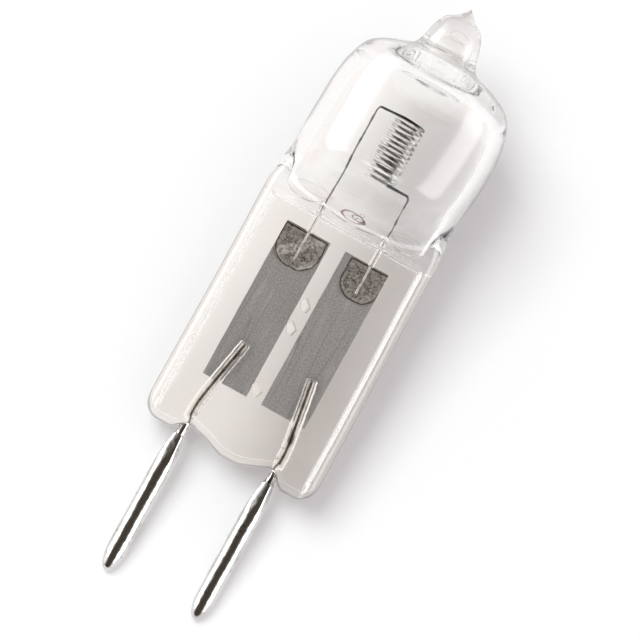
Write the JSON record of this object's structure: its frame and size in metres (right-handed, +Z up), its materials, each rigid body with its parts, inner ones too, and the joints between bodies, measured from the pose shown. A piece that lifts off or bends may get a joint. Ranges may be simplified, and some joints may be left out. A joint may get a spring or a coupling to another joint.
{
  "type": "halogen capsule bulb",
  "caption": "Clear quartz halogen capsule bulb with a flat pinched base, sealed foils, a coiled filament, a drawn-off tip and straight contact pins",
  "frame": {"origin": "on the ground, under the middle of the lamp's bounding box as it lies", "axes": "+X runs along the lying lamp from the pins to the drawn-off tip, +Y across the flat pinch towards the left pin, +Z up out of the pinch's face"},
  "size_m": [0.0412, 0.0122, 0.0122],
  "materials": {
    "quartz": "gloss",
    "molybdenum": "satin",
    "tungsten": "satin",
    "nickel": "gloss"
  },
  "bodies": {
    "root": {"quartz_envelope": "quartz", "filament": "tungsten", "left_foil": "molybdenum", "right_foil": "molybdenum", "left_outer_lead": "nickel", "right_outer_lead": "nickel", "left_contact_pin": "nickel", "right_contact_pin": "nickel"}
  },
  "joints": []
}
